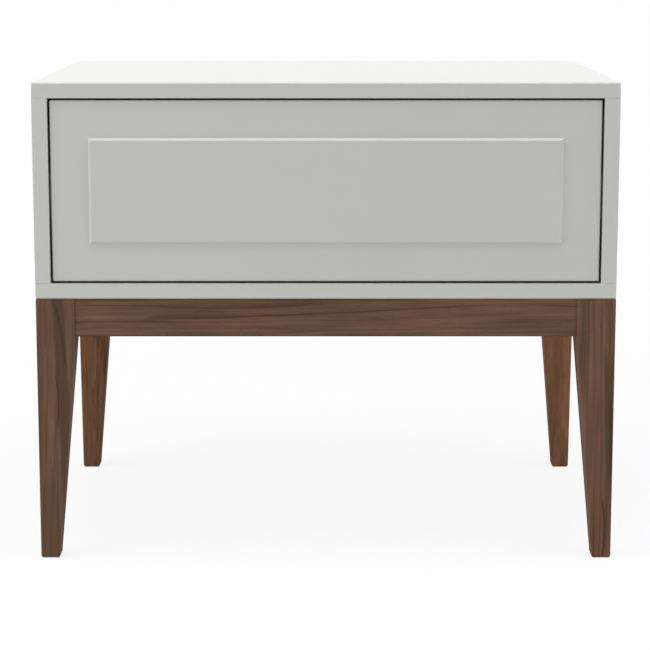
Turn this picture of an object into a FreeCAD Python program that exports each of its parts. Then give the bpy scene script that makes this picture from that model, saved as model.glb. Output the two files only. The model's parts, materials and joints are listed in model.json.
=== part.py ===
import FreeCAD
import Part
import math
import os

# Nightstand: a lacquered box with one push-to-open drawer, standing on a walnut frame with tapered legs.
# The origin is on the floor under the middle of the box, +X to the right, +Y to the back and +Z up.
# All lengths are millimetres.

Vector = FreeCAD.Vector

# Overall size
WIDTH = 600.0
DEPTH = 400.0
HEIGHT = 500.0
CARCASS_HEIGHT = 223.0

# Lacquered boards
BOARD = 16.0
BOARD_ARRIS = 0.8

# Thin back, held in a groove all round
BACK_BOARD = 6.0
BACK_GROOVE = 8.0
BACK_INSET = 10.0
GROOVE_PLAY = 0.25

# Corner fittings of the carcass: glued dowels, and bolts drawn up by round cams
DOWEL_RADIUS = 4.0
DOWEL_LENGTH = 30.0
DOWEL_SEAT = 10.0
DOWEL_INSET = 50.0
CAM_RADIUS = 7.5
CAM_DEPTH = 12.5
CAM_DISTANCE = 24.0
CAM_SPACING = 40.0
CAM_SLOT_WIDTH = 2.0
CAM_SLOT_REACH = 4.0
CAM_SLOT_DEPTH = 1.5
BOLT_RADIUS = 2.5
BOLT_HEAD_RADIUS = 3.5
BOLT_HEAD_LENGTH = 3.0
BOLT_SEAT = 11.0
HOLE_PLAY = 0.1

# Walnut base
LEG = 40.0
FOOT = 20.0
WOOD_ARRIS = 0.8
APRON = 20.0
APRON_HEIGHT = 40.0
APRON_REVEAL = 2.0
TENON = 8.0
TENON_LENGTH = 16.0
TENON_SHOULDER = 6.0
MORTISE_PLAY = 0.2
PAD = 1.2
PAD_INSET = 1.0

# Diagonal blocks that brace the corners of the base
BLOCK_WIDTH = 20.0
BLOCK_HEIGHT = 22.0
BLOCK_CLEARANCE = 6.0

# Wood screws
SCREW_RADIUS = 2.0
SCREW_TIP_RADIUS = 0.5
SCREW_HEAD_RADIUS = 4.0
SCREW_HEAD_HEIGHT = 2.2
BLOCK_SCREW_GRIP = 13.0
BASE_SCREW_GRIP = 12.0
FRONT_SCREW_GRIP = 12.0
FRONT_SCREW_INSET = 60.0
SLIDE_SCREW_GRIP = 9.0
LATCH_SCREW_GRIP = 10.0

# Drawer front, with a raised field
DRAWER_GAP = 2.0
FRONT_THICKNESS = 18.0
FRONT_ARRIS = 0.8
FIELD_MARGIN = 40.0
FIELD_RISE = 2.5

# Drawer box, dovetailed, with the room that it leaves under and over it in the opening
BOX_RAISE = 8.0
BOX_HEADROOM = 23.0
BOX_SIDE = 12.0
DOVETAILS = 5
PIN_WIDTH = 10.0
PIN_SLOPE = 9.0
BOX_BOTTOM = 6.0
BOX_BOTTOM_RAISE = 10.0
BOX_GROOVE = 6.0

# Ball-bearing slides, as long as the room between the drawer front and the push latch
SLIDE_HEIGHT = 45.0
SLIDE_WIDTH = 12.7
SLIDE_SETBACK = 5.0
SLIDE_SHEET = 1.2
RACE_DEPTH = 0.5
RACE_LAND = 0.5
BALL = 3.5
BALL_PLAY = 0.25
BALLS_IN_ROW = 4
BALL_RING_SHARES = (-0.75, -0.25, 0.25, 0.75)
CAGE_SHEET = 0.6
CAGE_LENGTH = 90.0
WEB_GAP = 0.3
POCKET_PLAY = 0.1
ACCESS_RADIUS = 4.5
SLIDE_SCREW_SHARES = (0.12, 0.5, 0.88)

# Push latch between the drawer and the back, with its strike plate
PUSH_IN = 3.0
LATCH_CLEARANCE = 2.5
LATCH_WIDTH = 22.0
LATCH_HEIGHT = 26.0
LATCH_LENGTH = 44.0
LATCH_AXIS = 15.0
LATCH_EAR = 10.0
LATCH_EAR_HEIGHT = 4.0
LATCH_ROUND = 2.0
PLUNGER_RADIUS = 4.0
PLUNGER_SHOWN = 6.0
PLUNGER_DEPTH = 30.0
TIP_RADIUS = 5.5
TIP_LENGTH = 4.0
TIP_CLEARANCE = 0.3
STRIKE_RADIUS = 6.0
STRIKE = 1.2

# Cutting tools run past what they cut by this much
OVERRUN = 1.0

# Sides of a turned piece, kept few: a small one, such as a screw, and a larger one, such as a cam
SMALL_SIDES = 8
ROUND_SIDES = 16

# Planes of the carcass and its opening
LEFT = -WIDTH / 2
FRONT = -DEPTH / 2
BACK = DEPTH / 2
TOP = HEIGHT
CARCASS_LOW = TOP - CARCASS_HEIGHT
OPENING_LEFT = LEFT + BOARD
OPENING_LOW = CARCASS_LOW + BOARD
OPENING_TOP = TOP - BOARD
BACK_REAR = BACK - BACK_INSET
BACK_FRONT = BACK_REAR - BACK_BOARD

# Planes of the base
APRON_LOW = CARCASS_LOW - APRON_HEIGHT
APRON_FRONT = FRONT + APRON_REVEAL
APRON_LEFT = LEFT + APRON_REVEAL
LEG_RIGHT = LEFT + LEG
LEG_REAR = FRONT + LEG

# Planes of the drawer
MARGIN_FRONT = FRONT + FIELD_RISE
FRONT_REAR = FRONT + FRONT_THICKNESS
DRAWER_LEFT = OPENING_LEFT + DRAWER_GAP
DRAWER_LOW = OPENING_LOW + DRAWER_GAP
DRAWER_TOP = OPENING_TOP - DRAWER_GAP
BOX_LEFT = OPENING_LEFT + SLIDE_WIDTH
BOX_LOW = OPENING_LOW + BOX_RAISE
BOX_TOP = OPENING_TOP - BOX_HEADROOM
BOX_HEIGHT = BOX_TOP - BOX_LOW
BOX_FRONT = FRONT_REAR

# Planes of the push latch. The strike plate rests clear of its tip by the travel of the push.
LATCH_REAR = BACK_FRONT - LATCH_CLEARANCE
LATCH_FRONT = LATCH_REAR - LATCH_LENGTH
TIP_FRONT = LATCH_FRONT - PLUNGER_SHOWN - TIP_LENGTH
BOX_REAR = TIP_FRONT - TIP_CLEARANCE - PUSH_IN - STRIKE

# Planes of the slides, which end where the drawer box ends
SLIDE_FRONT = BOX_FRONT + SLIDE_SETBACK
SLIDE_REAR = BOX_REAR
SLIDE_LENGTH = SLIDE_REAR - SLIDE_FRONT
SLIDE_MIDDLE = (BOX_LOW + BOX_TOP) / 2


def block(x, y, z):
    """A block between two limits along each axis."""
    return Part.makeBox(x[1] - x[0], y[1] - y[0], z[1] - z[0], Vector(x[0], y[0], z[0]))


def rod(start, end, radius):
    """A round rod between two points."""
    way = end - start
    return Part.makeCylinder(radius, way.Length, start, way)


def prism(corners, way):
    """A prism with flat ends: a polygon drawn through its corners and carried along a way."""
    return Part.Face(Part.makePolygon([*corners, corners[0]])).extrude(way)


def other_side(shape):
    """The same piece on the right of the middle."""
    return shape.mirror(Vector(0, 0, 0), Vector(1, 0, 0))


def other_end(shape):
    """The same piece at the back of the middle."""
    return shape.mirror(Vector(0, 0, 0), Vector(0, 1, 0))


def four_corners(shape):
    """A front left piece with its copies at the other three corners."""
    front = [shape, other_side(shape)]
    return front + [other_end(piece) for piece in front]


def eased(shape, size, keep=lambda edge: True):
    """The shape with the chosen arrises taken off."""
    return shape.makeChamfer(size, [edge for edge in shape.Edges if keep(edge)])


def stacked(rings):
    """A solid with flat faces through rings of points, which lie one above the other."""
    outlines = [rings[0], rings[-1]]
    for lower, upper in zip(rings, rings[1:]):
        sides = zip(lower, lower[1:] + lower[:1], upper[1:] + upper[:1], upper)
        outlines += [list(corners) for corners in sides]
    faces = [Part.Face(Part.makePolygon([*outline, outline[0]])) for outline in outlines]
    solid = Part.Solid(Part.Shell(faces))
    return solid if solid.Volume > 0 else Part.Solid(solid.reversed().Shells[0])


def turned(start, way, stations, sides=SMALL_SIDES):
    """A turned piece along an axis, from its distance and radius at each station, with flat sides."""
    across = Vector(way.y, way.z, way.x)
    up = way.cross(across)
    angles = [math.radians(360 * (turn + 1 / 2) / sides) for turn in range(sides)]
    rims = [across * math.cos(angle) + up * math.sin(angle) for angle in angles]
    rings = [[start + way * along + rim * radius for rim in rims] for along, radius in stations]
    return stacked(rings)


def pin(start, way, length, radius):
    """A plain round pin or its hole, along an axis."""
    return turned(start, way, [(0, radius), (length, radius)], ROUND_SIDES)


def screw(tip, way, grip, through):
    """A countersunk wood screw: its flush head ends it, after its grip and what it goes through."""
    head = grip + through
    stations = [
        (0, SCREW_TIP_RADIUS),
        (SCREW_RADIUS, SCREW_RADIUS),
        (head - SCREW_HEAD_HEIGHT, SCREW_RADIUS),
        (head, SCREW_HEAD_RADIUS),
    ]
    return turned(tip, way, stations)


def screw_hole(tip, way, grip, through):
    """The drilled and countersunk hole that a screw fills, open above its head."""
    head = grip + through
    wide = SCREW_HEAD_RADIUS + HOLE_PLAY
    stations = [
        (-HOLE_PLAY, SCREW_RADIUS + HOLE_PLAY),
        (head - SCREW_HEAD_HEIGHT, SCREW_RADIUS + HOLE_PLAY),
        (head, wide),
        (head + wide, wide),
    ]
    return turned(tip, way, stations)


def back_panel(play):
    """The thin back, or the space of its groove when there is play."""
    reach = BACK_GROOVE - GROOVE_PLAY + play
    return block(
        (OPENING_LEFT - reach, reach - OPENING_LEFT),
        (BACK_FRONT - play, BACK_REAR + play),
        (OPENING_LOW - reach, OPENING_TOP + reach),
    )


def corner_dowel(along, play):
    """A dowel through the seam of the side and the top board, at a place along the depth."""
    start = Vector(LEFT + BOARD / 2, along, OPENING_TOP + DOWEL_SEAT - DOWEL_LENGTH)
    stations = [(-play, DOWEL_RADIUS + play), (DOWEL_LENGTH + play, DOWEL_RADIUS + play)]
    return turned(start, Vector(0, 0, 1), stations)


def corner_bolt(along, play):
    """A bolt that is fixed in the top board and ends in its cam, with the clearance of its hole as play."""
    start = Vector(LEFT + BOARD / 2, along, OPENING_TOP - CAM_DISTANCE)
    half = BOLT_HEAD_LENGTH / 2 + play
    stations = [
        (-half, BOLT_HEAD_RADIUS + play),
        (half, BOLT_HEAD_RADIUS + play),
        (half + BOLT_HEAD_RADIUS - BOLT_RADIUS, BOLT_RADIUS + play),
        (CAM_DISTANCE + BOLT_SEAT + play, BOLT_RADIUS + play),
    ]
    return turned(start, Vector(0, 0, 1), stations)


def corner_bore(along):
    """The drilling in the end of the side board that the bolt's head passes down."""
    start = Vector(LEFT + BOARD / 2, along, OPENING_TOP - CAM_DISTANCE)
    radius = BOLT_HEAD_RADIUS + HOLE_PLAY
    return turned(start, Vector(0, 0, 1), [(-BOLT_HEAD_LENGTH, radius), (CAM_DISTANCE, radius)])


def corner_cam(along, play):
    """A round cam let into the inside of the side board, with the clearance of its seat as play."""
    z = OPENING_TOP - CAM_DISTANCE
    start = Vector(OPENING_LEFT - CAM_DEPTH - play, along, z)
    return pin(start, Vector(1, 0, 0), CAM_DEPTH + play, CAM_RADIUS + play)


def cam_driver_slot(along):
    """The slot for a screwdriver in a cam's face."""
    z = OPENING_TOP - CAM_DISTANCE
    deep = (OPENING_LEFT - CAM_SLOT_DEPTH, OPENING_LEFT)
    half = CAM_SLOT_WIDTH / 2
    return block(deep, (along - half, along + half), (z - CAM_SLOT_REACH, z + CAM_SLOT_REACH))


def mirrored_low(shape):
    """The same fitting at the lower seam of the carcass."""
    return shape.mirror(Vector(0, 0, (OPENING_LOW + OPENING_TOP) / 2), Vector(0, 0, 1))


def all_seams(shape):
    """A fitting of the upper left seam, at all eight places."""
    upper = four_corners(shape)
    return upper + [mirrored_low(piece) for piece in upper]


def carcass():
    """The four lacquered boards, the thin back and the fittings in their seams."""
    dowel_along = FRONT + DOWEL_INSET
    cam_along = dowel_along + CAM_SPACING
    across = (LEFT, -LEFT)
    along = (FRONT, BACK)
    seam_holes = all_seams(corner_dowel(dowel_along, HOLE_PLAY))
    seam_holes += all_seams(corner_bolt(cam_along, HOLE_PLAY))
    side_holes = seam_holes + all_seams(corner_cam(cam_along, HOLE_PLAY))
    side_holes += all_seams(corner_bore(cam_along))
    groove = back_panel(GROOVE_PLAY)
    screws = slide_screws(True, True) + [other_side(one) for one in slide_screws(True, True)]
    top = eased(block(across, along, (OPENING_TOP, TOP)), BOARD_ARRIS)
    bottom = eased(block(across, along, (CARCASS_LOW, OPENING_LOW)), BOARD_ARRIS)
    side = eased(block((LEFT, OPENING_LEFT), along, (OPENING_LOW, OPENING_TOP)), BOARD_ARRIS)
    cam = corner_cam(cam_along, 0).cut([corner_bore(cam_along), cam_driver_slot(cam_along)])
    return {
        "top_board": top.cut([groove, *seam_holes]),
        "bottom_board": bottom.cut([groove, *seam_holes, *base_screws(True), *latch_screws(True)]),
        "left_side_board": side.cut([groove, *side_holes, *screws]),
        "right_side_board": other_side(side).cut([groove, *side_holes, *screws]),
        "back_board": back_panel(0),
        "carcass_dowels": all_seams(corner_dowel(dowel_along, 0)),
        "cam_bolts": all_seams(corner_bolt(cam_along, 0)),
        "cam_locks": all_seams(cam),
    }


def leg_ring(low, high, z):
    """A level square with its corners taken off, between two distances in from the leg's outer faces."""
    near = low + WOOD_ARRIS
    far = high - WOOD_ARRIS
    outline = [
        (low, near), (near, low), (far, low), (high, near),
        (high, far), (far, high), (near, high), (low, far),
    ]
    return [Vector(LEFT + x, FRONT + y, z) for x, y in outline]


def front_left_leg():
    """The front left leg: it tapers towards the middle on both inner sides, and has two mortises."""
    sections = (
        (WOOD_ARRIS, FOOT - WOOD_ARRIS, PAD),
        (0, FOOT, PAD + WOOD_ARRIS),
        (0, LEG, APRON_LOW),
        (0, LEG, CARCASS_LOW - WOOD_ARRIS),
        (WOOD_ARRIS, LEG - WOOD_ARRIS, CARCASS_LOW),
    )
    leg = stacked([leg_ring(*section) for section in sections])
    return leg.cut([front_tenon(MORTISE_PLAY), side_tenon(MORTISE_PLAY)])


def front_tenon(play):
    """The tenon at the left end of the front apron."""
    middle = APRON_FRONT + APRON / 2
    half = TENON / 2 + play
    low = APRON_LOW + TENON_SHOULDER - play
    high = CARCASS_LOW - TENON_SHOULDER + play
    return block((LEG_RIGHT - TENON_LENGTH - play, LEG_RIGHT), (middle - half, middle + half), (low, high))


def side_tenon(play):
    """The tenon at the front end of the left apron."""
    middle = APRON_LEFT + APRON / 2
    half = TENON / 2 + play
    low = APRON_LOW + TENON_SHOULDER - play
    high = CARCASS_LOW - TENON_SHOULDER + play
    return block((middle - half, middle + half), (LEG_REAR - TENON_LENGTH - play, LEG_REAR), (low, high))


def long_edge(edge):
    """True for an edge that runs from end to end of an apron."""
    return edge.Length > LEG + APRON


def front_apron():
    """The front apron with its two tenons."""
    rail = block(
        (LEG_RIGHT, -LEG_RIGHT), (APRON_FRONT, APRON_FRONT + APRON), (APRON_LOW, CARCASS_LOW)
    )
    tenon = front_tenon(0)
    return eased(rail, WOOD_ARRIS, long_edge).multiFuse([tenon, other_side(tenon)]).removeSplitter()


def left_apron():
    """The left apron with its two tenons."""
    rail = block(
        (APRON_LEFT, APRON_LEFT + APRON), (LEG_REAR, -LEG_REAR), (APRON_LOW, CARCASS_LOW)
    )
    tenon = side_tenon(0)
    return eased(rail, WOOD_ARRIS, long_edge).multiFuse([tenon, other_end(tenon)]).removeSplitter()


def block_corner():
    """The inner corner of the front and left aprons, at the top."""
    return Vector(APRON_LEFT + APRON, APRON_FRONT + APRON, CARCASS_LOW)


def block_reach():
    """How far the near and the far face of a corner block run along each apron."""
    overhang = LEG - APRON - APRON_REVEAL
    near = 2 * overhang + BLOCK_CLEARANCE * math.sqrt(2)
    return near, near + BLOCK_WIDTH * math.sqrt(2)


def corner_block():
    """The diagonal block in the front left corner, clear of the leg, with its screw holes."""
    near, far = block_reach()
    corner = block_corner() - Vector(0, 0, BLOCK_HEIGHT)
    outline = [
        corner + Vector(near, 0, 0),
        corner + Vector(far, 0, 0),
        corner + Vector(0, far, 0),
        corner + Vector(0, near, 0),
    ]
    body = prism(outline, Vector(0, 0, BLOCK_HEIGHT))
    return body.cut(block_screws(True) + base_screws(True)[:1])


def block_screws(hole):
    """The two screws that hold a corner block to its aprons, or their holes."""
    near, far = block_reach()
    make = screw_hole if hole else screw
    along = (near + far) / 2
    through = far - along - SCREW_HEAD_RADIUS
    height = Vector(0, 0, -BLOCK_HEIGHT / 2)
    places = [
        (Vector(along, 0, 0), Vector(0, 1, 0)),
        (Vector(0, along, 0), Vector(1, 0, 0)),
    ]
    tips = [(block_corner() + place + height - way * BLOCK_SCREW_GRIP, way) for place, way in places]
    return [make(tip, way, BLOCK_SCREW_GRIP, through) for tip, way in tips]


def base_screws(hole):
    """The screws that rise through the corner blocks into the bottom board, or their holes."""
    near, far = block_reach()
    make = screw_hole if hole else screw
    middle = (near + far) / 4
    tip = block_corner() + Vector(middle, middle, BASE_SCREW_GRIP)
    return four_corners(make(tip, Vector(0, 0, -1), BASE_SCREW_GRIP, BLOCK_HEIGHT))


def floor_pad():
    """The felt pad under the front left foot."""
    size = FOOT - PAD_INSET
    return block((LEFT + PAD_INSET, LEFT + size), (FRONT + PAD_INSET, FRONT + size), (0, PAD))


def base():
    """The walnut frame: legs, aprons, corner blocks, their screws and the floor pads."""
    legs = four_corners(front_left_leg())
    holes = [hole for one in block_screws(True) for hole in four_corners(one)]
    front = front_apron().cut(holes)
    left = left_apron().cut(holes)
    leg_names = ("front_left_leg", "front_right_leg", "rear_left_leg", "rear_right_leg")
    parts = dict(zip(leg_names, legs))
    parts.update({
        "front_apron": front,
        "rear_apron": other_end(front),
        "left_apron": left,
        "right_apron": other_side(left),
        "corner_blocks": four_corners(corner_block()),
        "corner_block_screws": [one for piece in block_screws(False) for one in four_corners(piece)],
        "base_screws": base_screws(False),
        "floor_pads": four_corners(floor_pad()),
    })
    return parts


def front_screws(hole):
    """The screws from inside the drawer box into its front, or their holes."""
    make = screw_hole if hole else screw
    x = BOX_LEFT + FRONT_SCREW_INSET
    rise = BOX_HEIGHT / 4
    tips = [Vector(x, FRONT_REAR - FRONT_SCREW_GRIP, SLIDE_MIDDLE + side * rise) for side in (-1, 1)]
    left = [make(tip, Vector(0, 1, 0), FRONT_SCREW_GRIP, BOX_SIDE) for tip in tips]
    return left + [other_side(one) for one in left]


def field_ring(y, inset):
    """A rectangle on the drawer front, set in from its edges."""
    x = DRAWER_LEFT + inset
    low = DRAWER_LOW + inset
    high = DRAWER_TOP - inset
    return [Vector(x, y, low), Vector(-x, y, low), Vector(-x, y, high), Vector(x, y, high)]


def drawer_front():
    """The drawer front: a flat margin round a bevelled field that stands level with the carcass."""
    margin = block((DRAWER_LEFT, -DRAWER_LEFT), (MARGIN_FRONT, FRONT_REAR), (DRAWER_LOW, DRAWER_TOP))
    margin = eased(margin, FRONT_ARRIS, lambda edge: edge.BoundBox.YMin < FRONT_REAR - FRONT_ARRIS)
    foot = field_ring(MARGIN_FRONT, FIELD_MARGIN - FIELD_RISE / 2)
    face = field_ring(FRONT, FIELD_MARGIN + FIELD_RISE / 2)
    field = stacked([foot, face])
    return margin.fuse(field).cut(front_screws(True))


def drawer_bottom(play):
    """The drawer's bottom panel, or the space of its groove when there is play."""
    reach = BOX_GROOVE - GROOVE_PLAY + play
    low = BOX_LOW + BOX_BOTTOM_RAISE
    x = BOX_LEFT + BOX_SIDE - reach
    y = (BOX_FRONT + BOX_SIDE - reach, BOX_REAR - BOX_SIDE + reach)
    return block((x, -x), y, (low - play, low + BOX_BOTTOM + play))


def box_side():
    """The left side board of the drawer box, before its joints are cut."""
    return block((BOX_LEFT, BOX_LEFT + BOX_SIDE), (BOX_FRONT, BOX_REAR), (BOX_LOW, BOX_TOP))


def dovetail_pins(outer, inner):
    """The pins at both ends of a drawer board, between the planes of its outer and inner faces."""
    flare = BOX_SIDE * math.tan(math.radians(PIN_SLOPE))
    pitch = BOX_HEIGHT / DOVETAILS
    half = PIN_WIDTH / 2
    pins = []
    for turn in range(DOVETAILS + 1):
        z = BOX_LOW + turn * pitch
        corners = [
            Vector(BOX_LEFT, outer, z - half),
            Vector(BOX_LEFT, outer, z + half),
            Vector(BOX_LEFT, inner, z + half + flare),
            Vector(BOX_LEFT, inner, z - half - flare),
        ]
        pins.append(prism(corners, Vector(BOX_SIDE, 0, 0)).common(box_side()))
    return pins + [other_side(one) for one in pins]


def drawer_board(outer, inner):
    """The drawer's inner front or back, with its pins."""
    x = BOX_LEFT + BOX_SIDE
    board = block((x, -x), sorted((outer, inner)), (BOX_LOW, BOX_TOP))
    return board.multiFuse(dovetail_pins(outer, inner)).removeSplitter()


def strike():
    """The steel plate on the back of the drawer that the latch pushes on."""
    return pin(Vector(0, BOX_REAR, OPENING_LOW + LATCH_AXIS), Vector(0, 1, 0), STRIKE, STRIKE_RADIUS)


def drawer():
    """The drawer: its front, and a dovetailed box with a bottom in a groove."""
    groove = drawer_bottom(GROOVE_PLAY)
    front = (BOX_FRONT, BOX_FRONT + BOX_SIDE)
    back = (BOX_REAR, BOX_REAR - BOX_SIDE)
    pins = dovetail_pins(*front) + dovetail_pins(*back)
    side = box_side().cut([groove, *pins, *slide_screws(False, True)])
    return {
        "drawer_front": drawer_front(),
        "drawer_inner_front": drawer_board(*front).cut([groove, *front_screws(True)]),
        "drawer_back": drawer_board(*back).cut([groove]),
        "drawer_left_side": side,
        "drawer_right_side": other_side(side),
        "drawer_bottom": drawer_bottom(0),
        "drawer_front_screws": front_screws(False),
        "strike_plate": strike(),
    }


# Section of a slide: u runs from the carcass side to the drawer side, v up from the slide's middle
RACE = BALL / 2 + BALL_PLAY
RACE_OFFSET = RACE - RACE_DEPTH
BULGE = math.sqrt((RACE + SLIDE_SHEET) ** 2 - (RACE_OFFSET + SLIDE_SHEET) ** 2)
CABINET_PLANE = SLIDE_HEIGHT / 2 - RACE_DEPTH
MIDDLE_PLANE = CABINET_PLANE - SLIDE_SHEET - 2 * RACE_OFFSET
DRAWER_PLANE = MIDDLE_PLANE - SLIDE_SHEET - 2 * RACE_OFFSET
OUTER_CAGE_WEB = SLIDE_SHEET + WEB_GAP
MIDDLE_WEB = OUTER_CAGE_WEB + CAGE_SHEET + WEB_GAP
INNER_CAGE_WEB = MIDDLE_WEB + SLIDE_SHEET + WEB_GAP
DRAWER_WEB = SLIDE_WIDTH - SLIDE_SHEET
MIDDLE_TIP = DRAWER_WEB - WEB_GAP
OUTER_ROW = MIDDLE_WEB + SLIDE_SHEET + BULGE
INNER_ROW = MIDDLE_TIP - RACE_LAND - BULGE
CABINET_TIP = OUTER_ROW + BULGE + RACE_LAND
DRAWER_TIP = INNER_ROW - BULGE - RACE_LAND / 2
OUTER_BALLS = CABINET_PLANE - SLIDE_SHEET - RACE_OFFSET
INNER_BALLS = MIDDLE_PLANE - SLIDE_SHEET - RACE_OFFSET


def bar(u, v):
    """A straight strip of the slide's section, as long as the slide."""
    x = (OPENING_LEFT + u[0], OPENING_LEFT + u[1])
    return block(x, (SLIDE_FRONT, SLIDE_REAR), (SLIDE_MIDDLE + v[0], SLIDE_MIDDLE + v[1]))


def race_rod(u, v, radius):
    """A round of the slide's section, as long as the slide."""
    start = Vector(OPENING_LEFT + u, SLIDE_FRONT, SLIDE_MIDDLE + v)
    return rod(start, start + Vector(0, SLIDE_LENGTH, 0), radius)


def both_flanges(half):
    """The upper half of a section with the same half below it."""
    lower = half.mirror(Vector(0, 0, SLIDE_MIDDLE), Vector(0, 0, 1))
    return half.fuse(lower).removeSplitter()


def rolled_member(web, tip, plane, rows):
    """A rolled steel channel, with a ball race pressed into each flange for every row of balls."""
    half = bar((web, web + SLIDE_SHEET), (0, plane))
    half = half.fuse(bar(sorted((web, tip)), (plane - SLIDE_SHEET, plane)))
    for u, v in rows:
        flange = (plane - SLIDE_SHEET, v + RACE + SLIDE_SHEET)
        if v > plane:
            flange = (v - RACE - SLIDE_SHEET, plane)
        bulge = race_rod(u, v, RACE + SLIDE_SHEET).common(bar((u - BULGE, u + BULGE), flange))
        half = half.fuse(bulge).cut(race_rod(u, v, RACE))
    return both_flanges(half)


def ball_places():
    """The places of a row of balls along the slide."""
    pitch = CAGE_LENGTH / BALLS_IN_ROW
    start = (SLIDE_FRONT + SLIDE_REAR - CAGE_LENGTH + pitch) / 2
    return [start + turn * pitch for turn in range(BALLS_IN_ROW)]


def ball(centre):
    """A steel ball, with few faces because the slides hold so many."""
    angles = [share * math.pi / 2 for share in BALL_RING_SHARES]
    stations = [(math.sin(angle) * BALL / 2, math.cos(angle) * BALL / 2) for angle in angles]
    return turned(centre, Vector(0, 1, 0), stations)


def ball_cage(web, row, height):
    """A cage with its pockets, and the balls that it holds between two members of the slide."""
    middle = (SLIDE_FRONT + SLIDE_REAR) / 2
    x = OPENING_LEFT + web
    length = (middle - CAGE_LENGTH / 2, middle + CAGE_LENGTH / 2)
    top = SLIDE_MIDDLE + height + CAGE_SHEET / 2
    tip = OPENING_LEFT + min(row + RACE, MIDDLE_TIP)
    half = block((x, x + CAGE_SHEET), length, (SLIDE_MIDDLE, top))
    half = half.fuse(block((x, tip), length, (top - CAGE_SHEET, top)))
    reach = BALL / 2 + POCKET_PLAY
    across = (OPENING_LEFT + row - reach, OPENING_LEFT + row + reach)
    pockets = [block(across, (y - reach, y + reach), (top - BALL, top + BALL)) for y in ball_places()]
    centres = [Vector(OPENING_LEFT + row, y, SLIDE_MIDDLE + height) for y in ball_places()]
    centres += [centre - Vector(0, 0, 2 * height) for centre in centres]
    balls = [ball(centre) for centre in centres]
    return [both_flanges(half.cut(pockets)), *balls]


def slide_screws(cabinet, hole):
    """The screws of the left slide into the carcass side, or those into the drawer side, or their holes."""
    make = screw_hole if hole else screw
    way = Vector(1 if cabinet else -1, 0, 0)
    head = SLIDE_SHEET if cabinet else DRAWER_WEB
    places = [SLIDE_FRONT + share * SLIDE_LENGTH for share in SLIDE_SCREW_SHARES]
    reach = SLIDE_SHEET + SLIDE_SCREW_GRIP
    tips = [Vector(OPENING_LEFT + head, y, SLIDE_MIDDLE) - way * reach for y in places]
    return [make(tip, way, SLIDE_SCREW_GRIP, SLIDE_SHEET) for tip in tips]


def slides():
    """A pair of three-part slides, with their cages, balls and screws."""
    way = Vector(1, 0, 0)
    places = [SLIDE_FRONT + share * SLIDE_LENGTH for share in SLIDE_SCREW_SHARES]
    starts = [Vector(OPENING_LEFT + MIDDLE_WEB - OVERRUN, y, SLIDE_MIDDLE) for y in places]
    length = SLIDE_SHEET + 2 * OVERRUN
    access = [turned(start, way, [(0, ACCESS_RADIUS), (length, ACCESS_RADIUS)]) for start in starts]
    cabinet = rolled_member(0, CABINET_TIP, CABINET_PLANE, [(OUTER_ROW, OUTER_BALLS)])
    middle = rolled_member(
        MIDDLE_WEB, MIDDLE_TIP, MIDDLE_PLANE, [(OUTER_ROW, OUTER_BALLS), (INNER_ROW, INNER_BALLS)]
    )
    inner = rolled_member(DRAWER_WEB, DRAWER_TIP, DRAWER_PLANE, [(INNER_ROW, INNER_BALLS)])
    left = {
        "slide_cabinet_member": [cabinet.cut(slide_screws(True, True))],
        "slide_middle_member": [middle.cut(access)],
        "slide_drawer_member": [inner.cut(slide_screws(False, True))],
        "slide_outer_cage": ball_cage(OUTER_CAGE_WEB, OUTER_ROW, OUTER_BALLS),
        "slide_inner_cage": ball_cage(INNER_CAGE_WEB, INNER_ROW, INNER_BALLS),
    }
    parts = {f"left_{name}": solids for name, solids in left.items()}
    parts.update({f"right_{name}": [other_side(one) for one in solids] for name, solids in left.items()})
    carcass_screws = slide_screws(True, False)
    box_screws = slide_screws(False, False)
    parts["slide_cabinet_screws"] = carcass_screws + [other_side(one) for one in carcass_screws]
    parts["slide_drawer_screws"] = box_screws + [other_side(one) for one in box_screws]
    return parts


def latch_screws(hole):
    """The two screws down through the latch's ears, or their holes."""
    make = screw_hole if hole else screw
    y = (LATCH_FRONT + LATCH_REAR) / 2
    tip = Vector(-(LATCH_WIDTH + LATCH_EAR) / 2, y, OPENING_LOW - LATCH_SCREW_GRIP)
    left = make(tip, Vector(0, 0, 1), LATCH_SCREW_GRIP, LATCH_EAR_HEIGHT)
    return [left, other_side(left)]


def push_latch():
    """The latch's housing, its plunger with a soft tip, and its screws."""
    half = LATCH_WIDTH / 2
    along = (LATCH_FRONT, LATCH_REAR)
    body = block((-half, half), along, (OPENING_LOW, OPENING_LOW + LATCH_HEIGHT))
    body = eased(body, LATCH_ROUND, lambda edge: edge.BoundBox.ZMin > OPENING_LOW)
    ears = block(
        (-half - LATCH_EAR, half + LATCH_EAR), along, (OPENING_LOW, OPENING_LOW + LATCH_EAR_HEIGHT)
    )
    z = OPENING_LOW + LATCH_AXIS
    way = Vector(0, 1, 0)
    bore = pin(Vector(0, LATCH_FRONT, z), way, PLUNGER_DEPTH + HOLE_PLAY, PLUNGER_RADIUS + HOLE_PLAY)
    shank = pin(Vector(0, TIP_FRONT + TIP_LENGTH, z), way, PLUNGER_SHOWN + PLUNGER_DEPTH, PLUNGER_RADIUS)
    tip = pin(Vector(0, TIP_FRONT, z), way, TIP_LENGTH, TIP_RADIUS)
    return {
        "push_latch_housing": body.fuse(ears).cut([bore, *latch_screws(True)]),
        "push_latch_plunger": shank,
        "push_latch_tip": tip,
        "push_latch_screws": latch_screws(False),
    }


def main():
    """Builds every piece and writes one file for each."""
    os.makedirs("parts", exist_ok=True)
    parts = {**carcass(), **base(), **drawer(), **slides(), **push_latch()}
    for name, solids in parts.items():
        pieces = solids if isinstance(solids, list) else [solids]
        shape = pieces[0] if len(pieces) == 1 else Part.makeCompound(pieces)
        shape.exportStep(f"parts/{name}.step")
        print(name, len(shape.Solids), "valid" if shape.isValid() else "NOT VALID", round(shape.Volume))


main()
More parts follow.
